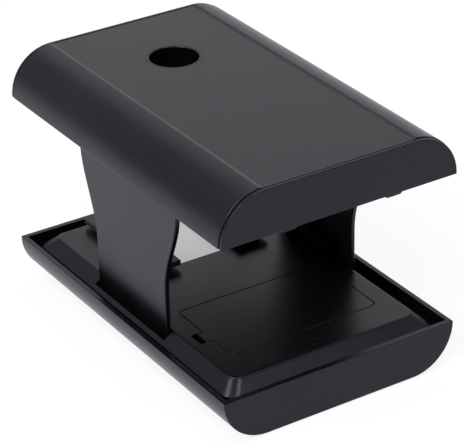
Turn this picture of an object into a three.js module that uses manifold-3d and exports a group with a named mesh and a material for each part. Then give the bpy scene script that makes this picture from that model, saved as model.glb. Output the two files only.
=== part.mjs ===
// A folding scanner for 35 mm film. A camera phone lies on the cover and looks down
// through its hole at a lit window in the base, over which the film is slid.
// Millimetres, +Z up, +Y along the body, origin under the middle of the feet.

import * as THREE from 'three';
import { mergeVertices } from 'three/addons/utils/BufferGeometryUtils.js';
import Module from 'manifold-3d';

const wasm = await Module();
wasm.setup();

// Driving sizes of the two shells
const bodyLength = 134;
const bodyWidth = 90;
const shellHeight = 16.5;
const shellRadius = 16.2;
const shellWall = 1.8;
const endWall = 2;
const legReach = 54.8;
const footProud = 0.5;

// Clearances
const clearance = 0.3;
const seat = 0.1;
const overrun = 3;
const weld = 0.0001;

// Levels and edges that several pieces share
const tubBottom = footProud;
const tubFloorTop = tubBottom + shellWall;
const rim = tubBottom + shellHeight;
const coverEdge = rim + legReach;
const coverTop = coverEdge + shellHeight;
const coverCeiling = coverTop - shellWall;
const bodyEnd = bodyLength / 2;
const bodySide = bodyWidth / 2;
const cornerRadius = Math.min(shellRadius, shellHeight - clearance);
const floorSide = bodySide - cornerRadius;

// Facets of a round feature
const shellSteps = 10;
const cornerSteps = 5;
const roundSides = 20;
const pinSides = 16;

// Deck, the raised tray that closes the base
const deckProud = 1.5;
const deckSideMargin = 8.5;
const deckEndMargin = 8.5;
const deckWidth = bodyWidth - 2 * deckSideMargin;
const deckLength = bodyLength - 2 * deckEndMargin;
const deckRadius = 4;
const deckWall = 1.8;
const deckDrop = 5.8;
const skirtGap = 1;
const deckSideFlare = deckSideMargin - shellWall - skirtGap;
const deckEndFlare = deckEndMargin - endWall - clearance;
const deckCornerFlare = 5;
const deckTop = rim + deckProud;
const deckUnder = deckTop - deckWall;
const deckSkirt = deckTop - deckDrop;

// Power button and its switch
const buttonInset = 5.5;
const buttonY = deckEndMargin + buttonInset - bodyEnd;
const buttonLength = 5.2;
const buttonWidth = 2.4;
const buttonProud = 0.6;
const buttonFlange = 1;
const bezelWidth = 0.9;
const bezelProud = 0.35;
const buttonTravel = 0.8;
const buttonPlay = 0.3;
const buttonStem = 1.8;
const switchSize = 6;
const switchHeight = 2.4;
const flangeTop = deckUnder - clearance;

// Battery bay, its door and the two cells, which are as long and thick as the body lets them be
const doorMargin = 7.5;
const doorThickness = 1.3;
const doorRadius = 2.5;
const doorUnder = deckTop - doorThickness;
const doorOpeningLength = deckWidth - 2 * doorMargin;
const endLedge = 1;
const sideLedge = 1.75;
const ledgeTop = doorUnder - clearance;
const ledgeDepth = 2;
const bayX = 0.4;
const bayLength = doorOpeningLength - 2 * endLedge;
const bayWall = 1.6;
const contactRoom = 5.5;
const cellHeadroom = 0.4;
const cellGap = 0.7;
const cellLength = bayLength - contactRoom;
const cellRadius = (doorUnder - cellHeadroom - tubFloorTop - clearance) / 2;
const cellLevel = tubFloorTop + clearance + cellRadius;
const cellPitch = 2 * cellRadius + cellGap;
const nubLength = 1.3;
const nubRadius = 2.7;
const cellShoulder = 0.6;
const bayWidth = 2 * cellPitch + cellGap;
const bayBottom = tubFloorTop + cellGap;
const doorOpeningWidth = bayWidth + 2 * sideLedge;
const buttonToDoor = 7;
const doorNear = buttonY + buttonToDoor;
const doorFar = doorNear + doorOpeningWidth;
const bayY = (doorNear + doorFar) / 2;
const bayNear = bayY - bayWidth / 2 - bayWall;
const doorEdgeX = bayX + doorOpeningLength / 2 - clearance;
const hookSpread = 20;
const hookWidth = 5;
const hookReach = 2;
const hookThickness = 1;
const hookDrop = 1.1;
const latchWidth = 6;
const latchOffset = 2;
const latchY = bayY - latchOffset;
const latchReach = 2.3;
const fingerRoom = 2.1;
const notchReach = latchReach + fingerRoom;
const notchDepth = 2.9;
const notchFloor = 1.3;

// Legs, their hinges and the pockets that take their heels
const legSideMargin = 7;
const legX = bodySide - legSideMargin;
const legThickness = 1.8;
const legY = 1.4;
const legFootWidth = 44.4;
const legHeadWidth = 61.8;
const legHeadRadius = 2;
const legHeadChamfer = 0.6;
const legIntoCover = 7.2;
const legTop = coverEdge + legIntoCover;
const legWaistShare = 0.26;
const legShoulderShare = 0.81;
const legCurveShare = 0.21;
const leftHeelBelowRim = 2.5;
const rightHeelBelowRim = 1.6;
const heelGap = 0.5;
const hingeRadius = 2;
const earGap = 0.6;
const knuckleGap = 0.4;
const legStackGap = 0.5;
const hingeX = legX - legThickness - earGap - hingeRadius;
const leftHinge = deckTop + knuckleGap + hingeRadius;
const rightHinge = leftHinge + legThickness + legStackGap;
const pinRadius = 0.8;
const pinBore = pinRadius + clearance;
const middleEar = 7;
const knuckleLength = 4.3;
const outerEar = 2;
const knuckleStart = middleEar / 2 + clearance;
const outerEarStart = knuckleStart + knuckleLength + clearance;
const hingeSpan = outerEarStart + outerEar;
const pocketInner = legX - legThickness - clearance;
const pocketOutside = 1.3;
const pocketOuter = legX + pocketOutside;
const pocketWall = 1.6;
const pocketPlay = 0.5;

// Light box, light window and film guides
const middleGap = 22.5;
const farMargin = 13.5;
const lightBoxNear = doorFar + middleGap;
const lightBoxFar = bodyEnd - farMargin;
const lightBoxLength = lightBoxFar - lightBoxNear;
const windowY = (lightBoxNear + lightBoxFar) / 2;
const windowWidth = 24;
const windowFrame = 4.75;
const windowLength = lightBoxLength - 2 * windowFrame;
const windowRadius = 1;
const diffuserFlange = 3;
const diffuserThickness = 1.5;
const diffuserRecess = 0.3;
const lightBoxWidth = windowWidth + 2 * windowFrame;
const lightBoxWall = 1.2;
const lightBoard = 1;
const lightBoardInset = 1.2;
const ledSize = 3;
const ledHeight = 0.8;
const ledRows = 3;
const filmWidth = 35.6;
const guideFoot = 3.5;
const guideBrim = 3;
const guideInner = windowWidth / 2;
const guideOuter = filmWidth / 2 + guideFoot + guideBrim;
const guideNearReach = 3.25;
const guideFarReach = 9.25;
const guideStart = windowY - windowLength / 2 - guideNearReach;
const guideEnd = windowY + windowLength / 2 + guideFarReach;
const guideHeight = 3.5;
const guidePlate = 2.1;
const guideFootInset = 2;
const guideLead = 0.8;

// Screws and feet, which stand on the flat of the floor
const screwInset = 1.8;
const screwNearInset = 14;
const screwFarInset = 10.8;
const screwX = floorSide - screwInset;
const screwNearY = screwNearInset - bodyEnd;
const screwFarY = bodyEnd - screwFarInset;
const screwRadius = 1.2;
const screwLength = 8;
const screwHeadRadius = 2.4;
const screwHead = 1.6;
const screwBoss = 3.2;
const screwSeatWall = 1.2;
const screwRecess = 0.8;
const footSideInset = 8.8;
const footEndInset = 8.5;
const footX = floorSide - footSideInset;
const footY = bodyEnd - footEndInset;
const footRadius = 4;
const footRecess = 0.8;

// Control board, between the near screws and the battery bay
const boardSideGap = 6.8;
const boardWidth = 2 * (screwX - screwBoss - boardSideGap);
const boardLength = 2 * (bayNear - cellGap - buttonY);
const boardThickness = 1.6;
const boardTop = flangeTop - buttonStem - buttonTravel - buttonPlay - switchHeight - seat;

// Cover: end caps, leg rails and the camera hole
const holeY = windowY;
const holeRadius = 8.5;
const holeBevel = 1;
const collarWall = 1.6;
const collarDepth = 10.2;
const platformWidth = 2 * floorSide;
const platformRecess = 0.35;
const capPlate = 1.1;
const capGroove = 0.5;
const capInset = 0.3;
const capChamfer = 0.35;
const capBack = 1.7;
const capPlug = 3.6;
const capPlugWall = 1.4;
const tabInset = 8.8;
const tabX = floorSide - tabInset;
const tabWidth = 6.8;
const tabHang = 0.8;
const tabRoot = 4;
const tabThickness = 1.2;
const tabChamfer = 0.8;
const railWidth = 4.4;
const railThickness = 1.5;
const railEndMargin = 1.8;
const railWeb = 1.5;
const railWebCount = 4;
const roofGap = 0.4;

// Battery contacts
const contactThickness = 0.4;
const contactHeight = 9;
const contactWidth = 11;
const springWire = 0.35;
const springBase = 4.6;
const springTip = 2.2;
const springTurns = 3.5;
const springSteps = 8;
const wireSides = 5;

const plastic = { color: 0x2b2b2e, roughness: 0.55, metalness: 0 };
const darkPlastic = { color: 0x1c1c1e, roughness: 0.6, metalness: 0 };
const rubber = { color: 0x151516, roughness: 0.9, metalness: 0 };
const opal = { color: 0xf4f5f6, roughness: 0.35, metalness: 0 };
const whitePlastic = { color: 0xe9e9e6, roughness: 0.5, metalness: 0 };
const board = { color: 0x1d5b3a, roughness: 0.5, metalness: 0 };
const led = { color: 0xf2e9a8, roughness: 0.3, metalness: 0 };
const steel = { color: 0xa9abad, roughness: 0.3, metalness: 1 };
const cellSleeve = { color: 0x6f7478, roughness: 0.35, metalness: 0.4 };

// Solids from geometries

function toSolid(geometry) {
  const bare = geometry.clone();
  bare.deleteAttribute('normal');
  bare.deleteAttribute('uv');
  const merged = mergeVertices(bare, weld);
  return new wasm.Manifold(new wasm.Mesh({
    numProp: 3,
    vertProperties: new Float32Array(merged.attributes.position.array),
    triVerts: new Uint32Array(merged.index.array),
  }));
}

function join(...solids) {
  return solids.reduce((whole, piece) => whole.add(piece));
}

function cut(solid, ...tools) {
  return tools.reduce((rest, tool) => rest.subtract(tool), solid);
}

function piece(name, solid, look) {
  const mesh = solid.getMesh();
  const geometry = new THREE.BufferGeometry();
  geometry.setAttribute('position', new THREE.BufferAttribute(mesh.vertProperties, 3));
  geometry.setIndex(new THREE.BufferAttribute(mesh.triVerts, 1));
  geometry.computeVertexNormals();
  const object = new THREE.Mesh(geometry, new THREE.MeshStandardMaterial(look));
  object.name = name;
  return object;
}

// An outline extruded along Z, along Y (drawn in x and z) or along X (drawn in y and z)

function extrude(shape, depth, segments) {
  return new THREE.ExtrudeGeometry(shape, { depth, bevelEnabled: false, steps: 1, curveSegments: segments });
}

function prismZ(shape, low, high, segments = cornerSteps) {
  return toSolid(extrude(shape, high - low, segments).translate(0, 0, low));
}

function prismY(shape, low, high, segments = cornerSteps) {
  const geometry = extrude(shape, high - low, segments);
  geometry.rotateX(Math.PI / 2);
  return toSolid(geometry.translate(0, high, 0));
}

function prismX(shape, low, high, segments = cornerSteps) {
  const geometry = extrude(shape, high - low, segments);
  const turn = new THREE.Matrix4().makeBasis(
    new THREE.Vector3(0, 1, 0),
    new THREE.Vector3(0, 0, 1),
    new THREE.Vector3(1, 0, 0),
  );
  geometry.applyMatrix4(turn);
  return toSolid(geometry.translate(low, 0, 0));
}

function block(x0, x1, y0, y1, z0, z1) {
  const geometry = new THREE.BoxGeometry(x1 - x0, y1 - y0, z1 - z0);
  return toSolid(geometry.translate((x0 + x1) / 2, (y0 + y1) / 2, (z0 + z1) / 2));
}

function rodZ(x, y, radius, low, high, sides = roundSides) {
  const geometry = new THREE.CylinderGeometry(radius, radius, high - low, sides);
  geometry.rotateX(Math.PI / 2);
  return toSolid(geometry.translate(x, y, (low + high) / 2));
}

function rodY(x, z, radius, low, high, sides = pinSides) {
  const geometry = new THREE.CylinderGeometry(radius, radius, high - low, sides);
  return toSolid(geometry.translate(x, (low + high) / 2, z));
}

// Outlines

function roundedRectangle(width, length, radius, x = 0, y = 0) {
  const w = width / 2 - radius;
  const l = length / 2 - radius;
  const shape = new THREE.Shape();
  shape.absarc(x + w, y + l, radius, 0, Math.PI / 2, false);
  shape.absarc(x - w, y + l, radius, Math.PI / 2, Math.PI, false);
  shape.absarc(x - w, y - l, radius, Math.PI, 1.5 * Math.PI, false);
  shape.absarc(x + w, y - l, radius, 1.5 * Math.PI, 2 * Math.PI, false);
  return shape;
}

function oval(length, width, y) {
  return roundedRectangle(length, width, width / 2 - weld, 0, y);
}

// The section that both shells share: a flat with a quarter round at each side, open at the edge level
function troughShape(inset, edge, flat) {
  const up = Math.sign(flat - edge);
  const half = bodySide - inset;
  const radius = cornerRadius - inset;
  const level = flat - up * radius;
  const centre = half - radius;
  const shape = new THREE.Shape();
  shape.moveTo(half, edge);
  shape.lineTo(half, level);
  shape.absarc(centre, level, radius, 0, up * Math.PI / 2, up < 0);
  shape.absarc(-centre, level, radius, up * Math.PI / 2, Math.PI, up < 0);
  shape.lineTo(-half, edge);
  shape.closePath();
  return shape;
}

// Level rings of a tapering tray, joined from the lowest to the highest
function ring(width, length, radius, z) {
  const points = roundedRectangle(width, length, radius).extractPoints(cornerSteps).shape;
  return points.map((point) => new THREE.Vector3(point.x, point.y, z));
}

function loft(rings) {
  const count = rings[0].length;
  const positions = rings.flat().flatMap((point) => [point.x, point.y, point.z]);
  const index = [];
  for (let r = 0; r < rings.length - 1; r += 1) {
    for (let i = 0; i < count; i += 1) {
      const a = r * count + i;
      const b = r * count + (i + 1) % count;
      index.push(a, b, b + count, a, b + count, a + count);
    }
  }
  const cap = THREE.ShapeUtils.triangulateShape(rings[0].map((p) => new THREE.Vector2(p.x, p.y)), []);
  const last = (rings.length - 1) * count;
  cap.forEach(([a, b, c]) => index.push(a, c, b, last + a, last + b, last + c));
  const geometry = new THREE.BufferGeometry();
  geometry.setAttribute('position', new THREE.Float32BufferAttribute(positions, 3));
  geometry.setIndex(index);
  return toSolid(geometry);
}

// Base shell: one moulded tub with screw pillars, posts for the board and recesses for the feet

const screwPlaces = [-1, 1].flatMap((side) => [screwNearY, screwFarY].map((y) => [side * screwX, y]));
const footPlaces = [-1, 1].flatMap((side) => [-footY, footY].map((y) => [side * footX, y]));
const screwSeat = tubBottom + screwRecess + screwHead + clearance;
const pillarTop = screwSeat + screwSeatWall;
const boardPostX = boardWidth / 2 - screwHeadRadius;
const boardUnder = boardTop - boardThickness;

function makeBaseShell() {
  const outside = prismY(troughShape(0, rim, tubBottom), -bodyEnd, bodyEnd, shellSteps);
  const section = troughShape(shellWall, rim + overrun, tubFloorTop);
  let tub = cut(outside, prismY(section, endWall - bodyEnd, bodyEnd - endWall, shellSteps));
  for (const [x, y] of screwPlaces) {
    const pillar = rodZ(x, y, screwBoss + screwSeatWall / 2, tubBottom, pillarTop);
    tub = join(tub, pillar.intersect(outside));
    tub = cut(tub, rodZ(x, y, screwHeadRadius + clearance, tubBottom - overrun, screwSeat));
    tub = cut(tub, rodZ(x, y, screwRadius + clearance, tubBottom, pillarTop + overrun, pinSides));
  }
  for (const side of [-1, 1]) {
    const post = rodZ(side * boardPostX, buttonY, screwHeadRadius, tubBottom + footRecess, boardUnder - seat);
    tub = join(tub, post);
  }
  for (const [x, y] of footPlaces) {
    tub = cut(tub, rodZ(x, y, footRadius + clearance, tubBottom - overrun, tubBottom + footRecess));
  }
  return tub;
}

// Deck: a tray with sloping sides, the battery bay under it and the hinge ears on it

function deckRing(z, inset) {
  const share = (deckTop - z) / deckDrop;
  const width = deckWidth + 2 * (share * deckSideFlare - inset);
  const length = deckLength + 2 * (share * deckEndFlare - inset);
  const radius = deckRadius + share * deckCornerFlare - inset / 2;
  return ring(width, length, radius, z);
}

function makeDeckTray() {
  const slant = deckWall * Math.SQRT2;
  const outside = loft([deckRing(deckSkirt, 0), deckRing(deckTop, 0)]);
  const low = deckSkirt - deckWall;
  const inside = loft([deckRing(low, slant), deckRing(deckUnder, slant)]);
  return { outside, inside };
}

function bayBlock(length, width, low, high, radius) {
  return prismZ(roundedRectangle(length, width, radius, bayX, bayY), low, high);
}

function makeLegPocket(side) {
  const half = legFootWidth / 2 + pocketPlay;
  const floor = rim - leftHeelBelowRim - heelGap;
  const nearSide = Math.min(side * pocketInner, side * pocketOuter);
  const farSide = Math.max(side * pocketInner, side * pocketOuter);
  const housing = block(
    nearSide - pocketWall, farSide + pocketWall,
    legY - half - pocketWall, legY + half + pocketWall,
    floor - pocketWall, deckTop,
  );
  const space = block(nearSide, farSide, legY - half, legY + half, floor, deckTop + overrun);
  return { housing, space };
}

function earShape(x, level) {
  const shape = new THREE.Shape();
  shape.moveTo(x - hingeRadius, deckUnder);
  shape.lineTo(x + hingeRadius, deckUnder);
  shape.lineTo(x + hingeRadius, level);
  shape.absarc(x, level, hingeRadius, 0, Math.PI, false);
  shape.closePath();
  return shape;
}

function makeEars(side, level) {
  const shape = earShape(side * hingeX, level);
  return join(
    prismY(shape, legY - middleEar / 2, legY + middleEar / 2, cornerSteps),
    prismY(shape, legY + outerEarStart, legY + hingeSpan, cornerSteps),
    prismY(shape, legY - hingeSpan, legY - outerEarStart, cornerSteps),
  );
}

const hookPlaces = [bayY - hookSpread / 2, bayY + hookSpread / 2];
const hookTop = doorUnder - seat;
const hookBottom = hookTop - hookThickness;

// The room that the tub leaves, with a clearance all round
function makeTubRoom() {
  const section = troughShape(shellWall + clearance, coverEdge, tubFloorTop + clearance);
  const reach = bodyEnd - endWall - clearance;
  return prismY(section, -reach, reach, shellSteps);
}

function makeDeck() {
  const { outside, inside } = makeDeckTray();
  let deck = cut(outside, inside);

  for (const side of [-1, 1]) {
    const { housing, space } = makeLegPocket(side);
    deck = cut(join(deck, housing.intersect(outside)), space);
  }

  const bayLedge = bayBlock(
    doorOpeningLength + 2 * bayWall, doorOpeningWidth + 2 * bayWall,
    ledgeTop - ledgeDepth, deckUnder + seat, doorRadius + bayWall,
  );
  const bayBox = bayBlock(
    bayLength + 2 * bayWall, bayWidth + 2 * bayWall,
    bayBottom, ledgeTop, doorRadius,
  );
  const latchHousing = block(
    bayX - doorOpeningLength / 2 - notchReach - bayWall, bayX - bayLength / 2,
    latchY - latchWidth / 2 - bayWall, latchY + latchWidth / 2 + bayWall,
    deckTop - notchDepth - notchFloor, deckUnder + seat,
  );
  deck = join(deck, bayLedge, bayBox, latchHousing);
  const doorOpening = bayBlock(doorOpeningLength, doorOpeningWidth, ledgeTop, deckTop + overrun, doorRadius);
  const cells = bayBlock(bayLength, bayWidth, bayBottom - overrun, ledgeTop + overrun, bayWall);
  const notch = block(
    bayX - doorOpeningLength / 2 - notchReach, bayX - bayLength / 2,
    latchY - latchWidth / 2 - clearance, latchY + latchWidth / 2 + clearance,
    deckTop - notchDepth, deckTop + overrun,
  );
  deck = cut(deck, doorOpening, cells, notch);
  for (const y of hookPlaces) {
    const depth = hookReach + hookDrop + clearance;
    deck = cut(deck, block(
      doorEdgeX - depth, doorEdgeX + hookReach + clearance,
      y - hookWidth / 2 - clearance, y + hookWidth / 2 + clearance,
      hookBottom - depth / 2, hookTop + clearance,
    ));
  }

  const window = roundedRectangle(windowWidth, windowLength, windowRadius, 0, windowY);
  deck = cut(deck, prismZ(window, deckUnder - overrun, deckTop + overrun));

  const bezel = oval(
    buttonLength + 2 * (clearance + bezelWidth), buttonWidth + 2 * (clearance + bezelWidth), buttonY,
  );
  const buttonHole = oval(buttonLength + 2 * clearance, buttonWidth + 2 * clearance, buttonY);
  deck = join(deck, prismZ(bezel, deckUnder, deckTop + bezelProud));
  deck = cut(deck, prismZ(buttonHole, deckUnder - overrun, deckTop + overrun));

  const screwTop = screwSeat + screwLength + clearance;
  for (const [x, y] of screwPlaces) {
    deck = join(deck, rodZ(x, y, screwBoss, pillarTop + clearance, deckUnder + seat));
    deck = cut(deck, rodZ(x, y, screwRadius + clearance, tubBottom, screwTop, pinSides));
  }

  deck = join(deck, makeEars(-1, leftHinge), makeEars(1, rightHinge));
  const boreLow = legY - hingeSpan - overrun;
  const boreHigh = legY + hingeSpan + overrun;
  deck = cut(deck, rodY(-hingeX, leftHinge, pinBore, boreLow, boreHigh));
  deck = cut(deck, rodY(hingeX, rightHinge, pinBore, boreLow, boreHigh));
  return deck.intersect(makeTubRoom());
}

// Battery door: a plate with two hooks at its hinge edge and a springy latch at the other

function makeDoor() {
  const length = doorOpeningLength - 2 * clearance;
  const width = doorOpeningWidth - 2 * clearance;
  const plate = bayBlock(length, width, doorUnder, deckTop, doorRadius - clearance);
  const latchEdge = doorEdgeX - length;
  const latch = block(
    latchEdge - latchReach, latchEdge + doorRadius,
    latchY - latchWidth / 2, latchY + latchWidth / 2,
    doorUnder, deckTop,
  );
  const hooks = hookPlaces.map((y) => join(
    block(
      doorEdgeX - hookReach, doorEdgeX - seat,
      y - hookWidth / 2, y + hookWidth / 2,
      hookBottom, doorUnder + seat,
    ),
    block(
      doorEdgeX - hookReach, doorEdgeX + hookReach,
      y - hookWidth / 2, y + hookWidth / 2,
      hookBottom, hookTop,
    ),
  ));
  return join(plate, latch, ...hooks);
}

// Legs: flat panels that widen in an S curve towards the cover, with knuckles inside their feet

function legOutline(heel) {
  const foot = legFootWidth / 2;
  const head = legHeadWidth / 2;
  const height = legTop - rim;
  const waist = rim + legWaistShare * height;
  const shoulder = rim + legShoulderShare * height;
  const curve = legCurveShare * height;
  const shape = new THREE.Shape();
  shape.moveTo(legY - foot, heel);
  shape.lineTo(legY + foot, heel);
  shape.lineTo(legY + foot, waist);
  shape.bezierCurveTo(legY + foot, waist + curve, legY + head, shoulder - curve, legY + head, shoulder);
  const roundY = head - legHeadRadius;
  const roundZ = legTop - legHeadRadius;
  shape.lineTo(legY + head, roundZ);
  shape.absarc(legY + roundY, roundZ, legHeadRadius, 0, Math.PI / 2, false);
  shape.absarc(legY - roundY, roundZ, legHeadRadius, Math.PI / 2, Math.PI, false);
  shape.lineTo(legY - head, shoulder);
  shape.bezierCurveTo(legY - head, shoulder - curve, legY - foot, waist + curve, legY - foot, waist);
  shape.closePath();
  return shape;
}

function legSection(centre, heel) {
  const half = legThickness / 2;
  const shape = new THREE.Shape();
  shape.absarc(centre, heel + half, half, Math.PI, 2 * Math.PI, false);
  shape.lineTo(centre + half, legTop - legHeadChamfer);
  shape.lineTo(centre + half - legHeadChamfer, legTop);
  shape.lineTo(centre - half + legHeadChamfer, legTop);
  shape.lineTo(centre - half, legTop - legHeadChamfer);
  shape.closePath();
  return shape;
}

function makeLeg(side, level, heel) {
  const centre = side * (legX - legThickness / 2);
  const low = Math.min(side * legX, side * hingeX);
  const high = Math.max(side * legX, side * hingeX);
  const reach = legHeadWidth / 2 + Math.abs(legY) + overrun;
  const panel = prismX(legOutline(heel), low - overrun, high + overrun, cornerSteps * 2)
    .intersect(prismY(legSection(centre, heel), -reach, reach, cornerSteps));
  const web = Math.min(side * hingeX, centre);
  const webEnd = Math.max(side * hingeX, centre);
  let leg = panel;
  for (const end of [-1, 1]) {
    const near = end < 0 ? -knuckleStart - knuckleLength : knuckleStart;
    const y0 = legY + near;
    const y1 = y0 + knuckleLength;
    leg = join(leg, block(web, webEnd, y0, y1, level - hingeRadius, level + hingeRadius));
    leg = join(leg, rodY(side * hingeX, level, hingeRadius, y0, y1));
    leg = cut(leg, rodY(side * hingeX, level, pinBore, y0 - overrun, y1 + overrun));
  }
  return leg;
}

function makePin(side, level) {
  const half = hingeSpan - seat;
  return rodY(side * hingeX, level, pinRadius, legY - half, legY + half);
}

// Light box, its board and lamps, and the opal window above them

const diffuserTop = deckTop - diffuserRecess;
const diffuserPlateTop = deckUnder - seat;
const lightBoxTop = diffuserPlateTop - diffuserThickness - seat;
const lightBoxBottom = tubFloorTop + seat;
const lightBoardBottom = lightBoxBottom + lightBoxWall + seat;
const lightBoardTop = lightBoardBottom + lightBoard;
const lightBoardWidth = lightBoxWidth - 2 * (lightBoxWall + lightBoardInset);
const lightBoardLength = lightBoxLength - 2 * (lightBoxWall + lightBoardInset);

function centredBlock(width, length, low, high) {
  return block(-width / 2, width / 2, windowY - length / 2, windowY + length / 2, low, high);
}

function makeLightBox() {
  const width = lightBoxWidth - 2 * lightBoxWall;
  const length = lightBoxLength - 2 * lightBoxWall;
  return cut(
    centredBlock(lightBoxWidth, lightBoxLength, lightBoxBottom, lightBoxTop),
    centredBlock(width, length, lightBoxBottom + lightBoxWall, lightBoxTop + overrun),
  );
}

function makeDiffuser() {
  const width = windowWidth - 2 * clearance;
  const length = windowLength - 2 * clearance;
  const raised = roundedRectangle(width, length, windowRadius - clearance, 0, windowY);
  return join(
    centredBlock(
      width + 2 * diffuserFlange, length + 2 * diffuserFlange,
      diffuserPlateTop - diffuserThickness, diffuserPlateTop,
    ),
    prismZ(raised, diffuserPlateTop - diffuserThickness / 2, diffuserTop),
  );
}

function makeLightBoard() {
  return centredBlock(lightBoardWidth, lightBoardLength, lightBoardBottom, lightBoardTop);
}

function makeLed(column, row) {
  const x = column * lightBoardWidth / 4;
  const y = windowY + (row - (ledRows - 1) / 2) * lightBoardLength / ledRows;
  const half = ledSize / 2;
  const low = lightBoardTop + seat;
  return block(x - half, x + half, y - half, y + half, low, low + ledHeight);
}

// Film guides: a plate on a foot, so that film or a slide runs under its inner lip

function makeFilmGuide(side) {
  const top = deckTop + guideHeight;
  const footInner = filmWidth / 2;
  const plate = new THREE.Shape();
  plate.moveTo(side * guideInner, guideStart);
  plate.lineTo(side * (guideOuter - guideLead), guideStart);
  plate.lineTo(side * guideOuter, guideStart + guideLead);
  plate.lineTo(side * guideOuter, guideEnd - guideLead);
  plate.lineTo(side * (guideOuter - guideLead), guideEnd);
  plate.lineTo(side * guideInner, guideEnd);
  plate.closePath();
  const low = Math.min(side * footInner, side * (footInner + guideFoot));
  return join(
    prismZ(plate, top - guidePlate, top),
    block(low, low + guideFoot, guideStart + guideFootInset, guideEnd - guideFootInset, deckTop + seat, top),
  );
}

// Power button, its board and its switch

function makeButton() {
  const cap = oval(buttonLength, buttonWidth, buttonY);
  const flange = oval(buttonLength + 2 * buttonFlange, buttonWidth + 2 * buttonFlange, buttonY);
  return join(
    prismZ(cap, flangeTop - buttonStem, deckTop + buttonProud),
    prismZ(flange, flangeTop - buttonFlange, flangeTop),
  );
}

function makeBoard() {
  const half = boardLength / 2;
  return block(-boardWidth / 2, boardWidth / 2, buttonY - half, buttonY + half, boardUnder, boardTop);
}

function makeSwitch() {
  const half = switchSize / 2;
  const low = boardTop + seat;
  return block(-half, half, buttonY - half, buttonY + half, low, low + switchHeight);
}

// Screws and feet

function makeScrew(x, y) {
  const top = screwSeat - clearance;
  return join(
    rodZ(x, y, screwHeadRadius, top - screwHead, top),
    rodZ(x, y, screwRadius, top - screwHead / 2, top + screwLength, pinSides),
  );
}

function makeFoot(x, y) {
  return rodZ(x, y, footRadius, 0, tubBottom + footRecess - seat);
}

// Cells and their contacts

function makeCell(y, side) {
  const half = cellLength / 2;
  const shoulder = half - nubLength;
  const profile = [
    new THREE.Vector2(0, -half),
    new THREE.Vector2(cellRadius - cellShoulder, -half),
    new THREE.Vector2(cellRadius, -half + cellShoulder),
    new THREE.Vector2(cellRadius, shoulder - cellShoulder),
    new THREE.Vector2(cellRadius - cellShoulder, shoulder),
    new THREE.Vector2(nubRadius, shoulder),
    new THREE.Vector2(nubRadius, half),
    new THREE.Vector2(0, half),
  ];
  const geometry = new THREE.LatheGeometry(profile, roundSides);
  geometry.rotateZ(-side * Math.PI / 2);
  return toSolid(geometry.translate(cellCentre(side), y, cellLevel));
}

// The positive end stands on a plate and the negative end on a spring
function cellCentre(side) {
  const plateFace = bayX + side * (bayLength / 2 - seat - contactThickness);
  return plateFace - side * (seat + cellLength / 2);
}

function contactPlate(side, y, width) {
  const wall = bayX + side * (bayLength / 2 - seat);
  const inner = wall - side * contactThickness;
  return block(
    Math.min(wall, inner), Math.max(wall, inner),
    y - width / 2, y + width / 2,
    cellLevel - contactHeight / 2, cellLevel + contactHeight / 2,
  );
}

function contactSpring(side, y) {
  const plateFace = bayX + side * (bayLength / 2 - seat - contactThickness);
  const cellEnd = cellCentre(-side) + side * cellLength / 2;
  const start = plateFace;
  const end = cellEnd + side * (seat + springWire);
  const steps = springTurns * springSteps;
  const points = [];
  for (let i = 0; i <= steps; i += 1) {
    const share = i / steps;
    const angle = share * springTurns * 2 * Math.PI;
    const radius = springBase + (springTip - springBase) * share;
    points.push(new THREE.Vector3(
      start + (end - start) * share,
      y + radius * Math.cos(angle),
      cellLevel + radius * Math.sin(angle),
    ));
  }
  const section = new THREE.Shape();
  for (let i = 0; i < wireSides; i += 1) {
    const angle = i / wireSides * 2 * Math.PI;
    const x = springWire * Math.cos(angle);
    const z = springWire * Math.sin(angle);
    if (i === 0) section.moveTo(x, z);
    else section.lineTo(x, z);
  }
  section.closePath();
  const geometry = new THREE.ExtrudeGeometry(section, {
    extrudePath: new THREE.CatmullRomCurve3(points),
    steps: points.length - 1,
    bevelEnabled: false,
  });
  return toSolid(geometry);
}

// Cover: the wrap-around shell, the rails that stand on the legs, and a snap-in cap at each end

const shellEnd = bodyEnd - capPlate - capGroove;
function makeCoverShell() {
  const outside = prismY(troughShape(0, coverEdge, coverTop), -shellEnd, shellEnd, shellSteps);
  const section = troughShape(shellWall, coverEdge - overrun, coverCeiling);
  const space = prismY(section, -bodyEnd, bodyEnd, shellSteps);
  const collarLow = coverCeiling - collarDepth;
  const collar = rodZ(0, holeY, holeRadius + collarWall, collarLow, coverCeiling + seat);
  const platform = coverTop - platformRecess;
  const bevel = new THREE.CylinderGeometry(holeRadius + 2 * holeBevel, holeRadius, 2 * holeBevel, roundSides);
  bevel.rotateX(Math.PI / 2);
  return cut(
    join(cut(outside, space), collar),
    block(-platformWidth / 2, platformWidth / 2, -bodyEnd, bodyEnd, platform, coverTop + overrun),
    rodZ(0, holeY, holeRadius, collarLow - overrun, coverTop + overrun),
    toSolid(bevel.translate(0, holeY, platform)),
  );
}

// A rail is welded under the roof by its webs, and its flat underside rests on a leg
function makeRail(side) {
  const roof = legTop + roofGap;
  const centre = side * (legX - legThickness / 2);
  const half = legHeadWidth / 2 + railEndMargin;
  const low = centre - railWidth / 2;
  const high = centre + railWidth / 2;
  const webs = [];
  for (let i = 0; i < railWebCount; i += 1) {
    const y = legY + (2 * i / (railWebCount - 1) - 1) * (half - railWeb / 2);
    webs.push(block(low, high, y - railWeb / 2, y + railWeb / 2, roof, coverTop));
  }
  const room = troughShape(shellWall + seat, coverEdge, coverCeiling - seat);
  return join(block(low, high, legY - half, legY + half, roof, roof + railThickness), ...webs)
    .intersect(prismY(room, -shellEnd, shellEnd, shellSteps));
}

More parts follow.
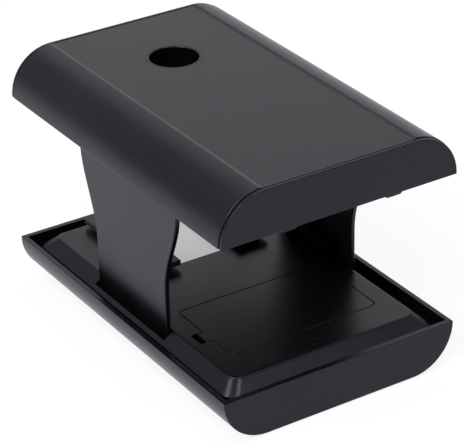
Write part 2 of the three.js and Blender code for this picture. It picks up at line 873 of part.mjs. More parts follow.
function makeTab(side, y0, y1) {
  const half = tabWidth / 2;
  const low = coverEdge - tabHang;
  const shape = new THREE.Shape();
  shape.moveTo(side * tabX - half, coverEdge + tabRoot);
  shape.lineTo(side * tabX - half, low + tabChamfer);
  shape.lineTo(side * tabX - half + tabChamfer, low);
  shape.lineTo(side * tabX + half - tabChamfer, low);
  shape.lineTo(side * tabX + half, low + tabChamfer);
  shape.lineTo(side * tabX + half, coverEdge + tabRoot);
  shape.closePath();
  return prismY(shape, y0, y1);
}

function makeEndCap(end) {
  const plateBack = bodyEnd - capPlate;
  const backFace = plateBack - capBack;
  const plugEnd = backFace - capPlug;
  const plugInset = shellWall + clearance;
  const hollowInset = plugInset + capPlugWall;
  const rimInset = capInset + capChamfer;
  const ordered = (a, b) => [Math.min(end * a, end * b), Math.max(end * a, end * b)];
  const trough = (inset, edge, a, b) => (
    prismY(troughShape(inset, edge, coverTop - inset), ...ordered(a, b), shellSteps)
  );
  const plate = trough(capInset, coverEdge, plateBack, bodyEnd - capChamfer);
  const chamfer = trough(rimInset, coverEdge, bodyEnd - capChamfer - seat, bodyEnd);
  const plug = trough(plugInset, coverEdge, plugEnd, plateBack + seat);
  const hollow = trough(hollowInset, coverEdge - overrun, plugEnd - overrun, backFace);
  const tabFace = bodyEnd - capChamfer;
  const tabs = [-1, 1].map((side) => makeTab(side, ...ordered(tabFace - tabThickness, tabFace)));
  return join(cut(join(plate, chamfer, plug), hollow), ...tabs);
}

// Assembly

const scanner = new THREE.Group();

scanner.add(piece('base_shell', makeBaseShell(), plastic));
scanner.add(piece('deck', makeDeck(), plastic));
scanner.add(piece('battery_door', makeDoor(), plastic));
scanner.add(piece('left_leg', makeLeg(-1, leftHinge, rim - leftHeelBelowRim), plastic));
scanner.add(piece('right_leg', makeLeg(1, rightHinge, rim - rightHeelBelowRim), plastic));
scanner.add(piece('left_hinge_pin', makePin(-1, leftHinge), steel));
scanner.add(piece('right_hinge_pin', makePin(1, rightHinge), steel));
scanner.add(piece('light_box', makeLightBox(), whitePlastic));
scanner.add(piece('light_board', makeLightBoard(), board));
scanner.add(piece('diffuser_window', makeDiffuser(), opal));
scanner.add(piece('film_guide_left', makeFilmGuide(-1), plastic));
scanner.add(piece('film_guide_right', makeFilmGuide(1), plastic));
scanner.add(piece('power_button', makeButton(), darkPlastic));
scanner.add(piece('control_board', makeBoard(), board));
scanner.add(piece('tact_switch', makeSwitch(), darkPlastic));
scanner.add(piece('cover_shell', makeCoverShell(), plastic));
scanner.add(piece('cover_rail_left', makeRail(-1), plastic));
scanner.add(piece('cover_rail_right', makeRail(1), plastic));
scanner.add(piece('cover_cap_near', makeEndCap(-1), plastic));
scanner.add(piece('cover_cap_far', makeEndCap(1), plastic));

for (let row = 0; row < ledRows; row += 1) {
  scanner.add(piece(`led_left_${row + 1}`, makeLed(-1, row), led));
  scanner.add(piece(`led_right_${row + 1}`, makeLed(1, row), led));
}
screwPlaces.forEach(([x, y], i) => scanner.add(piece(`base_screw_${i + 1}`, makeScrew(x, y), steel)));
footPlaces.forEach(([x, y], i) => scanner.add(piece(`foot_${i + 1}`, makeFoot(x, y), rubber)));

const nearCellY = bayY - cellPitch / 2;
const farCellY = bayY + cellPitch / 2;
scanner.add(piece('battery_cell_near', makeCell(nearCellY, 1), cellSleeve));
scanner.add(piece('battery_cell_far', makeCell(farCellY, -1), cellSleeve));
const bridge = contactPlate(-1, bayY, cellPitch + contactWidth);
scanner.add(piece('contact_bridge', join(bridge, contactSpring(-1, nearCellY)), steel));
scanner.add(piece('contact_positive', contactPlate(1, nearCellY, contactWidth), steel));
const negative = contactPlate(1, farCellY, contactWidth);
scanner.add(piece('contact_negative', join(negative, contactSpring(1, farCellY)), steel));

export default scanner;
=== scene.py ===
import math

import bmesh
import bpy
from mathutils import Matrix, Vector
from mathutils.geometry import interpolate_bezier


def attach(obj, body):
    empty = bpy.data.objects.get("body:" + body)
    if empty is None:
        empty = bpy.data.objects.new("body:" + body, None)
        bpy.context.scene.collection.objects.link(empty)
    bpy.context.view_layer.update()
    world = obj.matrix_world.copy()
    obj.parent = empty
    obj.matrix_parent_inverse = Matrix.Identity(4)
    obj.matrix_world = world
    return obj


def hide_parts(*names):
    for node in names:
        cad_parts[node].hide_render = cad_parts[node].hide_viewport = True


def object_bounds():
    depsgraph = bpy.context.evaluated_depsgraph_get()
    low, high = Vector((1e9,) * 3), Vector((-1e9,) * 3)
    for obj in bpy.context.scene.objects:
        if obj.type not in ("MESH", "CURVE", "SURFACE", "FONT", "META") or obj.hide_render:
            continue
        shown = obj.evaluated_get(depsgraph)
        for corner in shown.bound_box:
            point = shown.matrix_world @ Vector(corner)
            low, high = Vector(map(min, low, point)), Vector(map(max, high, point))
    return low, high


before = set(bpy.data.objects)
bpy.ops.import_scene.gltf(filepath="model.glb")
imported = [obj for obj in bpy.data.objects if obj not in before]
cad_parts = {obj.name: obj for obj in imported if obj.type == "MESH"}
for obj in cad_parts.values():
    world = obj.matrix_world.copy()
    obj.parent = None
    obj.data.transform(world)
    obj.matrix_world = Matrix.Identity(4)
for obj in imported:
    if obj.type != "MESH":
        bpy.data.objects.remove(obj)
cad_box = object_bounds()


# Base shell: the lower half of the case, one open trough injection moulded in black ABS with a
# fine spark texture. The long sides curve into the floor in a quarter round, the ends are flat
# walls, and four pillars inside take the screws that hold the deck.

mm = 0.001  # forms are drawn in millimetres and become metres in make_piece
same = 0.0005  # points closer than this are one point
past = 3  # how far a cutting form runs beyond the surface that it opens
flat_angle = 0.2  # in degrees, faces that meet flatter than this become one after a cut
crease_angle = 38  # in degrees, edges sharper than this are shaded as edges
body_width, body_length, body_height = [round((high - low) / mm, 2) for low, high in zip(*cad_box)]
end_face = body_length / 2
side_face = body_width / 2
base_bottom = 0.5
rim_level = 17
case_radius = 16.2
case_steps = 24
side_wall = 1.8
end_wall = 2
base_edge = 0.35
rim_edge = 0.3
screw_x = 27
screw_near_y = -53
screw_far_y = 56.2
screw_places = [(x, y) for y in (screw_near_y, screw_far_y) for x in (-screw_x, screw_x)]
screw_pillar = 3.8
screw_pillar_top = 4.4
screw_seat = 3.2
screw_head_room = 2.7
foot_x = 20
foot_y = 58.5
foot_places = [(x, y) for x in (-foot_x, foot_x) for y in (-foot_y, foot_y)]
foot_room = 4.3
foot_recess_top = 1.3


def block(low, high):
    """A box between two corners, in millimetres."""
    form = bmesh.new()
    middle = [(a + b) / 2 for a, b in zip(low, high)]
    size = [b - a for a, b in zip(low, high)]
    bmesh.ops.create_cube(form, size=1, matrix=Matrix.Translation(middle) @ Matrix.Diagonal((*size, 1)))
    return form


def rod(start, end, radius, end_radius=None, segments=48):
    """A round bar or cone between two points."""
    start, end = Vector(start), Vector(end)
    turn = (end - start).to_track_quat("Z", "Y").to_matrix().to_4x4()
    form = bmesh.new()
    bmesh.ops.create_cone(
        form, cap_ends=True, segments=segments, radius1=radius,
        radius2=radius if end_radius is None else end_radius, depth=(end - start).length,
        matrix=Matrix.Translation((start + end) / 2) @ turn,
    )
    return form


def bevel(form, edges, width, segments):
    bmesh.ops.bevel(
        form, geom=edges, offset=width, offset_type="OFFSET", segments=segments,
        profile=0.5, affect="EDGES", clamp_overlap=True, material=-1,
    )
    return form


def round_edges(form, width, picked, segments):
    """Rounds the edges whose two end points pass the test."""
    edges = [edge for edge in form.edges if picked(*(vert.co for vert in edge.verts))]
    return bevel(form, edges, width, segments)


def soften(form, width, segments=2, limit=40):
    """Rounds every edge that is sharper than the limit, in degrees."""
    sharp = math.radians(limit)
    edges = [edge for edge in form.edges if edge.is_manifold and edge.calc_face_angle() > sharp]
    return bevel(form, edges, width, segments)


def at_height(height, *places):
    """True where all the places are at one height."""
    return all(abs(place.z - height) < same for place in places)


def trough(half_width, near, far, mouth, flat, radius):
    """A bar whose two long edges on the flat side are quarter rounds."""
    form = block((-half_width, near, min(mouth, flat)), (half_width, far, max(mouth, flat)))
    return round_edges(
        form, radius, lambda a, b: at_height(flat, a, b) and abs(a.x - b.x) < same, segments=case_steps,
    )


def round_ends(form, end, mouth, width, segments):
    """Rounds the outline of both flat ends of a trough, but not the edge along its mouth."""
    return round_edges(form, width, lambda a, b: (
        abs(abs(a.y) - end) < same and abs(a.y - b.y) < same and not at_height(mouth, a, b)
    ), segments)


def shaped(form, operation, tools):
    """Cuts tools out of a form, or unites them with it."""
    stand_ins = []
    for part in (form, *tools):
        mesh = bpy.data.meshes.new("form")
        part.to_mesh(mesh)
        part.free()
        stand_ins.append(bpy.data.objects.new("form", mesh))
        bpy.context.scene.collection.objects.link(stand_ins[-1])
    for tool in stand_ins[1:]:
        modifier = stand_ins[0].modifiers.new("shape", "BOOLEAN")
        modifier.operation = operation
        modifier.solver = "EXACT"
        modifier.object = tool
    result = bmesh.new()
    result.from_object(stand_ins[0], bpy.context.evaluated_depsgraph_get())
    for stand_in in stand_ins:
        mesh = stand_in.data
        bpy.data.objects.remove(stand_in)
        bpy.data.meshes.remove(mesh)
    bmesh.ops.remove_doubles(result, verts=result.verts, dist=same)
    bmesh.ops.dissolve_limit(
        result, angle_limit=math.radians(flat_angle), use_dissolve_boundaries=False,
        verts=result.verts, edges=result.edges, delimit=set(),
    )
    return result


def cut(form, *tools):
    return shaped(form, "DIFFERENCE", tools)


def unite(form, *tools):
    return shaped(form, "UNION", tools)


def make_piece(form, name, finish, body, nodes):
    """Turns a form in millimetres into a piece of the scanner that rides on a body."""
    bmesh.ops.remove_doubles(form, verts=form.verts, dist=same)
    bmesh.ops.recalc_face_normals(form, faces=form.faces)
    bmesh.ops.scale(form, vec=(mm, mm, mm), verts=form.verts)
    for face in form.faces:
        face.smooth = True
    mesh = bpy.data.meshes.new(name)
    form.to_mesh(mesh)
    form.free()
    mesh.set_sharp_from_angle(angle=math.radians(crease_angle))
    mesh.materials.append(finish)
    made = bpy.data.objects.new(name, mesh)
    bpy.context.scene.collection.objects.link(made)
    even = made.modifiers.new("even_shading", "WEIGHTED_NORMAL")
    even.keep_sharp = True
    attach(made, body)
    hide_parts(*nodes)
    return made


class Reading:
    """One socket of a finish's node tree. Arithmetic on it adds Math nodes."""

    def __init__(self, tree, socket=None):
        self.tree = tree
        self.socket = socket

    def node(self, kind, settings, inputs, output=0):
        """Adds a node and reads one of its outputs. A ramp's stops are its black and white places."""
        node = self.tree.nodes.new(kind)
        for name, value in settings.items():
            if name == "stops":
                node.color_ramp.elements[0].position, node.color_ramp.elements[1].position = value
            else:
                setattr(node, name, value)
        for name, value in inputs.items():
            if isinstance(value, Reading):
                self.tree.links.new(value.socket, node.inputs[name])
            else:
                node.inputs[name].default_value = value
        return Reading(self.tree, node.outputs[output] if len(node.outputs) else None)

    def ramp(self, black, white):
        """Rises from 0 to 1 while this reading goes from one place to the other."""
        return self.node("ShaderNodeValToRGB", {"stops": (black, white)}, {0: self})

    def math(self, operation, first, second):
        return self.node("ShaderNodeMath", {"operation": operation}, {0: first, 1: second})

    def above(self, level):
        """1 where this reading is over the level, and 0 elsewhere."""
        return self.math("GREATER_THAN", self, level)

    def __add__(self, other):
        return self.math("ADD", self, other)

    def __radd__(self, other):
        return self.math("ADD", other, self)

    def __sub__(self, other):
        return self.math("SUBTRACT", self, other)

    def __rsub__(self, other):
        return self.math("SUBTRACT", other, self)

    def __mul__(self, other):
        return self.math("MULTIPLY", self, other)

    def __rmul__(self, other):
        return self.math("MULTIPLY", other, self)


def mix_colours(amount, first, second):
    """Blends two colours by a reading from 0 to 1."""
    return amount.node("ShaderNodeMix", {"data_type": "RGBA"}, {0: amount, 6: first, 7: second}, 2)


def noise(place, scale, detail=2, roughness=0.5):
    return place.node("ShaderNodeTexNoise", {}, {
        "Vector": place, "Scale": scale, "Detail": detail, "Roughness": roughness,
    })


def stretched(place, scale):
    return place.node("ShaderNodeMapping", {}, {"Vector": place, "Scale": scale})


def open_finish(name):
    """Starts a material: gives it, its shader and the place on the piece in metres."""
    finish = bpy.data.materials.new(name)
    finish.use_nodes = True
    tree = finish.node_tree
    shader = tree.nodes["Principled BSDF"]
    place = Reading(tree).node("ShaderNodeTexCoord", {}, {}, "Object")
    return finish, shader, place


def close_finish(shader, place, constants, readings, height, depth):
    """Sets the shader's plain values, links what varies, and adds the bump."""
    for name, value in constants.items():
        shader.inputs[name].default_value = value
    for name, reading in readings.items():
        place.tree.links.new(reading.socket, shader.inputs[name])
    bump = place.node("ShaderNodeBump", {}, {"Height": height, "Strength": 1.0, "Distance": depth})
    place.tree.links.new(bump.socket, shader.inputs["Normal"])


def spark_textured(name, dark, light, roughness, grain, depth, shine=0.37):
    """Black moulded plastic: cloudy shade, slight flow marks and a fine eroded grain."""
    finish, shader, place = open_finish(name)
    clouds = noise(place, scale=55, detail=3)
    flow = noise(stretched(place, (1, 0.25, 1)), scale=240)
    sparks = noise(place, grain, roughness=0.6)
    fine = noise(place, grain * 2.7, detail=1)
    shade = (clouds * 0.6 + flow * 0.15 + sparks * 0.25).ramp(0.3, 0.7)
    colour = mix_colours(shade, (*dark, 1), (*light, 1))
    height = sparks * 0.7 + fine * 0.3
    close_finish(shader, place, {
        "Specular IOR Level": shine,
        "Specular Tint": (0.88, 0.87, 1, 1),
        "IOR": 1.45,
    }, {
        "Base Color": colour,
        "Roughness": roughness + (clouds - 0.5) * 0.08 + (sparks - 0.5) * 0.1,
    }, height, depth)
    return finish


black_abs = spark_textured(
    "black_abs", dark=(0.0012, 0.0012, 0.0017), light=(0.003, 0.003, 0.004),
    roughness=0.3, grain=2400, depth=0.00002,
)

base_form = trough(side_face, -end_face, end_face, rim_level, base_bottom, case_radius)
round_ends(base_form, end_face, rim_level, base_edge, segments=3)
base_room = trough(
    side_face - side_wall, end_wall - end_face, end_face - end_wall,
    rim_level + past, base_bottom + side_wall, case_radius - side_wall,
)
base_form = cut(base_form, base_room)
round_edges(base_form, rim_edge, lambda a, b: at_height(rim_level, a, b), segments=2)
pillar_bottom = base_bottom + side_wall / 2
base_pillars = [rod((x, y, pillar_bottom), (x, y, screw_pillar_top), screw_pillar) for x, y in screw_places]
base_form = unite(base_form, *base_pillars)
base_form = cut(
    base_form,
    *[rod((x, y, -past), (x, y, screw_seat), screw_head_room) for x, y in screw_places],
    *[rod((x, y, -past), (x, y, foot_recess_top), foot_room) for x, y in foot_places],
)
make_piece(base_form, "base_trough", black_abs, "base", ["base_shell"])


# Deck: the raised tray that closes the base, moulded in black ABS and held by four screws from
# below. Its sides slope to a thin flange and leave a moat inside the rim. It carries the battery
# bay, finger notch, window opening, button rim, pockets for the leg heels and the hinge ears.

deck_top = 18.5
deck_foot = 14.6
deck_skirt = 12.7
deck_flange = 0.6
deck_top_size = (73, 117)
deck_foot_size = (81.3, 125.3)
deck_flange_size = (84.4, 129.4)
deck_room_size = (69, 113)
deck_top_radius = 4
deck_foot_radius = 4.6
deck_flange_radius = 9
deck_wall = 1.8
deck_top_edge = 1
deck_edge = 0.15
sunk = 1  # how deep an added form reaches into the deck's top
screw_boss = 3.2
screw_boss_bottom = 4.5
screw_bore = 1.3
screw_bore_top = 11.2
door_opening = (-28.6, -46, 29.4, -12)
door_opening_radius = 2.5
door_depth = 1.6
bay_room = (-27.6, -44.25, 28.4, -13.75)
bay_room_radius = 1.6
bay_wall = 1.6
bay_corner = 2.5
bay_bottom = 3
bay_top = 16.5
notch_left = -33
notch_right = -27.6
notch_near = -34.3
notch_far = -27.7
notch_depth = 2.9
notch_floor = 1.3
hook_ys = (-39, -19)
hook_slot_half = 2.8
hook_slot_bottom = 14.6
hook_slot_top = 17.4
hook_slot_depth = 1.8
window_opening = (-12, 15.25, 12, 48.75)
window_radius = 1
hinge_x = 33.6
left_hinge_level = 20.9
right_hinge_level = 23.2
hinges = (("left", -1, left_hinge_level), ("right", 1, right_hinge_level))
hinge_radius = 2
pin_bore = 1.1
bore_reach = 14
leg_y = 1.4  # the middle of both legs along the body
ear_spans = [(-10.4, -8.4), (-3.5, 3.5), (8.4, 10.4)]
ear_edge = 0.25
pocket_inner = 35.9
pocket_outer = 39.3
pocket_half = 22.7
pocket_floor = 14
button_y = -53
button_size = (5.2, 2.4)
button_gap = 0.3
bezel_width = 0.9
bezel_height = 0.35
bezel_edge = 0.2


def plate(bounds, low, high, radius, segments=8):
    """A flat plate with rounded corners, from its plan (x0, y0, x1, y1)."""
    x0, y0, x1, y1 = bounds
    form = block((x0, y0, low), (x1, y1, high))
    return round_edges(form, radius, lambda a, b: (a.xy - b.xy).length < same, segments)


def widened(bounds, margin):
    """A plan whose four sides are moved out, or in by a negative margin."""
    x0, y0, x1, y1 = bounds
    return x0 - margin, y0 - margin, x1 + margin, y1 + margin


def tray(size, low, high, radius):
    """A plate with rounded corners round the middle of the deck."""
    width, length = size
    return plate((-width / 2, -length / 2, width / 2, length / 2), low, high, radius)


def corner_centre(size, radius, place):
    """The centre of the tray's rounded corner that is nearest to a place."""
    return Vector([math.copysign(side / 2 - radius, along) for side, along in zip(size, place)])


def oval(size, margin, low, high):
    """A plate with round ends at the button's place, wider than a size by a margin all round."""
    length, width = [side + 2 * margin for side in size]
    bounds = (-length / 2, button_y - width / 2, length / 2, button_y + width / 2)
    return plate(bounds, low, high, width / 2 - same, segments=12)


def span_on(side, inner, outer):
    """A span across X or Y on the side -1 or 1 of the middle, with its low end first."""
    return sorted((side * inner, side * outer))


def hinge_bar(side, level, reach, radius):
    """A bar on a leg's hinge axis, as long on both sides of the leg's middle."""
    return rod((side * hinge_x, leg_y - reach, level), (side * hinge_x, leg_y + reach, level), radius)


def finish_faces(piece, finish, picked):
    """Gives a second finish to the faces of a piece whose middle, in millimetres, passes the test."""
    piece.data.materials.append(finish)
    for polygon in piece.data.polygons:
        if picked(polygon.center / mm):
            polygon.material_index = 1


# Hinge ears, knuckles and the inside of the camera hole get a darker copy of the black plastic that hardly
# reflects: painted shade, for the shade that falls on them under the cover and down the hole.
painted_shade_abs = spark_textured(
    "painted_shade_abs", dark=(0.001, 0.001, 0.0012), light=(0.002, 0.002, 0.0024),
    roughness=0.45, grain=1500, depth=0.00004, shine=0.02,
)

# The block is cut through at the foot of its slope, and all from there down spreads to the foot's plan.
deck_form = tray(deck_top_size, deck_skirt, deck_top, deck_top_radius)
bmesh.ops.bisect_plane(
    deck_form, geom=[*deck_form.verts, *deck_form.edges, *deck_form.faces],
    plane_co=(0, 0, deck_foot), plane_no=(0, 0, 1),
)
for vert in deck_form.verts:
    if vert.co.z < deck_foot + same:
        top_centre = corner_centre(deck_top_size, deck_top_radius, vert.co)
        foot_centre = corner_centre(deck_foot_size, deck_foot_radius, vert.co)
        vert.co.xy = foot_centre + (vert.co.xy - top_centre) * deck_foot_radius / deck_top_radius
round_edges(deck_form, deck_top_edge, lambda a, b: at_height(deck_top, a, b), segments=5)
flange_form = tray(deck_flange_size, deck_skirt, deck_skirt + deck_flange, deck_flange_radius)
deck_form = unite(deck_form, flange_form)
deck_form = cut(deck_form, tray(deck_room_size, deck_skirt - sunk, deck_top - deck_wall, deck_top_radius))
ears = []
for _, side, level in hinges:
    for near, far in ear_spans:
        ear = block(
            (side * hinge_x - hinge_radius, leg_y + near, deck_top - sunk),
            (side * hinge_x + hinge_radius, leg_y + far, level + hinge_radius),
        )
        round_edges(ear, hinge_radius - same, lambda a, b: (
            at_height(level + hinge_radius, a, b) and abs(a.x - b.x) < same
        ), segments=12)
        ears.append(soften(ear, ear_edge, limit=50))
bay_box = plate(widened(bay_room, bay_wall), bay_bottom, bay_top, bay_corner)
latch_housing = block(
    (notch_left - bay_wall, notch_near - bay_wall, deck_top - notch_depth - notch_floor),
    (notch_right, notch_far + bay_wall, deck_top - sunk),
)
bezel = oval(button_size, button_gap + bezel_width, deck_top - sunk, deck_top + bezel_height)
soften(bezel, bezel_edge)
bosses = [rod((x, y, screw_boss_bottom), (x, y, deck_top - sunk), screw_boss) for x, y in screw_places]
deck_form = unite(deck_form, bay_box, latch_housing, bezel, *bosses, *ears)
leg_pockets = []
for side in (-1, 1):
    ends = span_on(side, pocket_inner, pocket_outer)
    leg_pockets.append(block(
        (ends[0], leg_y - pocket_half, pocket_floor), (ends[1], leg_y + pocket_half, deck_top + past),
    ))
hook_slots = [
    block(
        (door_opening[2] - past, y - hook_slot_half, hook_slot_bottom),
        (door_opening[2] + hook_slot_depth, y + hook_slot_half, hook_slot_top),
    )
    for y in hook_ys
]
screw_bores = [
    rod((x, y, screw_boss_bottom - sunk), (x, y, screw_bore_top), screw_bore, segments=24)
    for x, y in screw_places
]
deck_form = cut(
    deck_form,
    plate(door_opening, deck_top - door_depth, deck_top + past, door_opening_radius),
    plate(bay_room, bay_bottom - past, deck_top, bay_room_radius),
    block((notch_left, notch_near, deck_top - notch_depth), (notch_right, notch_far, deck_top + past)),
    plate(window_opening, deck_skirt - past, deck_top + past, window_radius),
    oval(button_size, button_gap, deck_skirt - past, deck_top + past),
    *leg_pockets,
    *[hinge_bar(side, level, bore_reach, pin_bore) for _, side, level in hinges],
    *hook_slots,
    *screw_bores,
)
soften(deck_form, deck_edge, limit=60)
deck = make_piece(deck_form, "deck_tray", black_abs, "base", ["deck"])
# The hinge ears on the deck take the painted shade.
finish_faces(deck, painted_shade_abs, lambda middle: middle.z > deck_top + 2 * bezel_height)


# Battery door: a flat black plate over the two cells. Two hooks hold its right edge, and a springy
# tongue in a finger notch at its left edge snaps under the deck, so it tips up and comes out.

door_thickness = 1.3
door_gap = 0.3
door_radius = 2.2
door_edge = 0.3
tongue = (-30.6, -34, -26, -28)
tongue_radius = 0.6
hook_start = 27.1
hook_tip = 31.1
hook_half = 2.5
hook_bottom = 16.1
hook_top = 17.1
hook_edge = 0.2
hook_root_end = 29
hook_root_bottom = 16.5
hook_root_top = 17.4


def put_with(form, *others):
    """Adds separate closed forms to one mesh."""
    for other in others:
        mesh = bpy.data.meshes.new("form")
        other.to_mesh(mesh)
        other.free()
        form.from_mesh(mesh)
        bpy.data.meshes.remove(mesh)
    return form


door_bottom = deck_top - door_thickness
door_form = plate(widened(door_opening, -door_gap), door_bottom, deck_top, door_radius)
door_form = unite(door_form, plate(tongue, door_bottom, deck_top, tongue_radius))
soften(door_form, door_edge, segments=3)
hooks = [
    block((hook_start, y - hook_half, hook_bottom), (hook_tip, y + hook_half, hook_top)) for y in hook_ys
]
hook_roots = [
    block((hook_start, y - hook_half, hook_root_bottom), (hook_root_end, y + hook_half, hook_root_top))
    for y in hook_ys
]
put_with(door_form, *[soften(hook, hook_edge) for hook in hooks], *hook_roots)
make_piece(door_form, "bay_door", black_abs, "battery_door", ["battery_door"])


# Legs: two flat black panels, narrow at the foot and drawn out in an S curve to a wider head that
# stands in the cover. Each hangs on a steel pin by two knuckles and folds flat over the deck.

leg_outer = 38
leg_thickness = 1.8
leg_foot_half = 22.2
leg_head_half = 30.9
leg_top = 79
leg_head_radius = 2
leg_head_steps = 8
leg_waist = rim_level + 0.26 * (leg_top - rim_level)
leg_shoulder = rim_level + 0.81 * (leg_top - rim_level)
leg_pull = 0.21 * (leg_top - rim_level)
leg_curve_points = 28
leg_edge = 0.4
left_heel = 14.5
right_heel = 15.4
heel_edge = 0.85
knuckle_spans = [(-8.1, -3.8), (3.8, 8.1)]
knuckle_edge = 0.2
face_margin = 0.05  # slack where faces and points are picked by their place


def outline(points, axis, low, high):
    """A flat outline of (across, up) points drawn out along X or Y."""
    form = bmesh.new()
    place = (lambda p: (low, *p)) if axis == "X" else (lambda p: (p[0], low, p[1]))
    face = form.faces.new([form.verts.new(place(point)) for point in points])
    drawn = bmesh.ops.extrude_face_region(form, geom=[face])
    moved = [item for item in drawn["geom"] if isinstance(item, bmesh.types.BMVert)]
    travel = (high - low, 0, 0) if axis == "X" else (0, high - low, 0)
    bmesh.ops.translate(form, vec=travel, verts=moved)
    bmesh.ops.recalc_face_normals(form, faces=form.faces)
    return form


def leg_outline(heel):
    """Half of the outline is drawn up one side, and the other half is its reflection."""
    curve = interpolate_bezier(
        (leg_foot_half, leg_waist), (leg_foot_half, leg_waist + leg_pull),
        (leg_head_half, leg_shoulder - leg_pull), (leg_head_half, leg_shoulder), leg_curve_points,
    )
    corner = []
    for step in range(leg_head_steps + 1):
        turn = step * math.pi / 2 / leg_head_steps
        corner.append((
            leg_head_half - leg_head_radius + leg_head_radius * math.cos(turn),
            leg_top - leg_head_radius + leg_head_radius * math.sin(turn),
        ))
    half = [(leg_foot_half, heel), *[(point.x, point.y) for point in curve], *corner]
    return [(leg_y + y, z) for y, z in half] + [(leg_y - y, z) for y, z in reversed(half)]


for (name, side, level), heel in zip(hinges, (left_heel, right_heel)):
    leg_form = outline(leg_outline(heel), "X", *span_on(side, leg_outer - leg_thickness, leg_outer))
    round_edges(leg_form, heel_edge, lambda a, b: (
        at_height(heel, a, b) and abs(a.y - b.y) > same
    ), segments=5)
    soften(leg_form, leg_edge, segments=3, limit=60)
    knuckles = []
    web_ends = span_on(side, hinge_x, leg_outer - leg_thickness / 2)
    for near, far in knuckle_spans:
        start = leg_y + near
        end = leg_y + far
        barrel = rod((side * hinge_x, start, level), (side * hinge_x, end, level), hinge_radius)
        web = block((web_ends[0], start, level - hinge_radius), (web_ends[1], end, level + hinge_radius))
        knuckles += [soften(barrel, knuckle_edge), web]
    leg_form = cut(unite(leg_form, *knuckles), hinge_bar(side, level, bore_reach, pin_bore))
    leg = make_piece(
        leg_form, f"{name}_leg_panel", black_abs, f"{name}_leg", [f"{name}_leg"],
    )
    # The knuckles and their web take the painted shade.
    finish_faces(leg, painted_shade_abs, lambda middle: (
        abs(middle.x) < leg_outer - leg_thickness - face_margin
        and middle.z < right_hinge_level + 2 * hinge_radius
    ))


# Hinge pins: plain blackened steel wire pushed through the ears and knuckles, with broken ends.
# The screws and contacts further down have a bright zinc coat in place of the black.

pin_radius = 0.8
pin_half = 10.3
pin_edge = 0.2


def coated_steel(name, dark, light):
    """Drawn steel under a thin coat: fine lines, cloudy shade and a few dull patches."""
    finish, shader, place = open_finish(name)
    lines = noise(stretched(place, (6, 0.5, 6)), scale=900)
    patches = noise(place, scale=350, detail=3)
    colour = mix_colours(patches.ramp(0.35, 0.65), (*dark, 1), (*light, 1))
    close_finish(shader, place, {"Metallic": 1.0}, {
        "Base Color": colour,
        "Roughness": 0.24 + patches * 0.12 + lines * 0.08,
    }, lines, depth=0.00001)
    return finish


black_steel = coated_steel("black_steel", dark=(0.02, 0.02, 0.022), light=(0.045, 0.045, 0.048))
zinc_steel = coated_steel("zinc_steel", dark=(0.42, 0.42, 0.41), light=(0.58, 0.58, 0.57))

for name, side, level in hinges:
    pin_form = soften(hinge_bar(side, level, pin_half, pin_radius), pin_edge)
    make_piece(pin_form, f"{name}_pin", black_steel, "base", [f"{name}_hinge_pin"])


# Light window: an opal acrylic plate that drops into the deck's opening from below and spreads the
# light of six lamps. Under it lie the white light box and the green board with the lamps.

window_plate = (-14.7, 12.55, 14.7, 51.45)
window_plate_bottom = 15.1
window_plate_top = 16.6
window_plate_radius = 0.8
window_plate_edge = 0.15
window_gap = 0.3
window_raised_bottom = 16
window_top = 18.2
window_edge = 0.2


def opal_acrylic(name):
    """Milky acrylic with a slight haze and a faint painted glow, standing in for the lamps below shining
    through.
    """
    finish, shader, place = open_finish(name)
    haze = noise(place, scale=120)
    grain = noise(place, scale=3000, detail=1)
    close_finish(shader, place, {
        # Painted glow: the plate itself is no lamp.
        "Emission Strength": 0.25,
        "Emission Color": (1, 0.99, 0.97, 1),
    }, {
        "Base Color": mix_colours(haze, (0.86, 0.87, 0.88, 1), (0.93, 0.94, 0.95, 1)),
        "Roughness": 0.3 + haze * 0.1,
    }, grain, depth=0.000006)
    return finish


def smooth_moulded(name, dark, light, roughness):
    """Plain untextured moulding with a soft cloudy shade."""
    finish, shader, place = open_finish(name)
    clouds = noise(place, scale=180, detail=3)
    ripple = noise(place, scale=700)
    close_finish(shader, place, {}, {
        "Base Color": mix_colours(clouds, (*dark, 1), (*light, 1)),
        "Roughness": roughness + (clouds - 0.5) * 0.15,
    }, ripple, depth=0.00001)
    return finish


def solder_mask(name):
    """Green lacquer over copper: darker board with slightly raised lighter tracks."""
    finish, shader, place = open_finish(name)
    cells = place.node("ShaderNodeTexVoronoi", {"distance": "CHEBYCHEV"}, {"Vector": place, "Scale": 260})
    tracks = cells.ramp(0.42, 0.5)
    clouds = noise(place, scale=200)
    close_finish(shader, place, {}, {
        "Base Color": mix_colours(tracks, (0.012, 0.075, 0.03, 1), (0.02, 0.13, 0.05, 1)),
        "Roughness": 0.3 + clouds * 0.15,
    }, tracks, depth=0.00003)
    return finish


def lamp_package(name):
    """A white lamp body with a yellow gel face, glowing."""
    finish, shader, place = open_finish(name)
    gel = noise(place, scale=1500)
    close_finish(shader, place, {
        "Emission Color": (1, 0.93, 0.75, 1),
        "Emission Strength": 1.5,
    }, {
        "Base Color": mix_colours(gel, (0.8, 0.68, 0.25, 1), (0.9, 0.82, 0.45, 1)),
        "Roughness": 0.25 + gel * 0.15,
    }, gel, depth=0.00002)
    return finish


def finish_nodes(finish, *nodes):
    """Gives nodes that stay as they are in the frame their finish."""
    for node in nodes:
        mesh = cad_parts[node].data
        mesh.materials.clear()
        mesh.materials.append(finish)


opal_window = opal_acrylic("opal_window")
white_box = smooth_moulded(
    "white_moulding", dark=(0.78, 0.78, 0.76), light=(0.86, 0.86, 0.84), roughness=0.5,
)
green_board = solder_mask("green_board")
lamp_gel = lamp_package("lamp_gel")

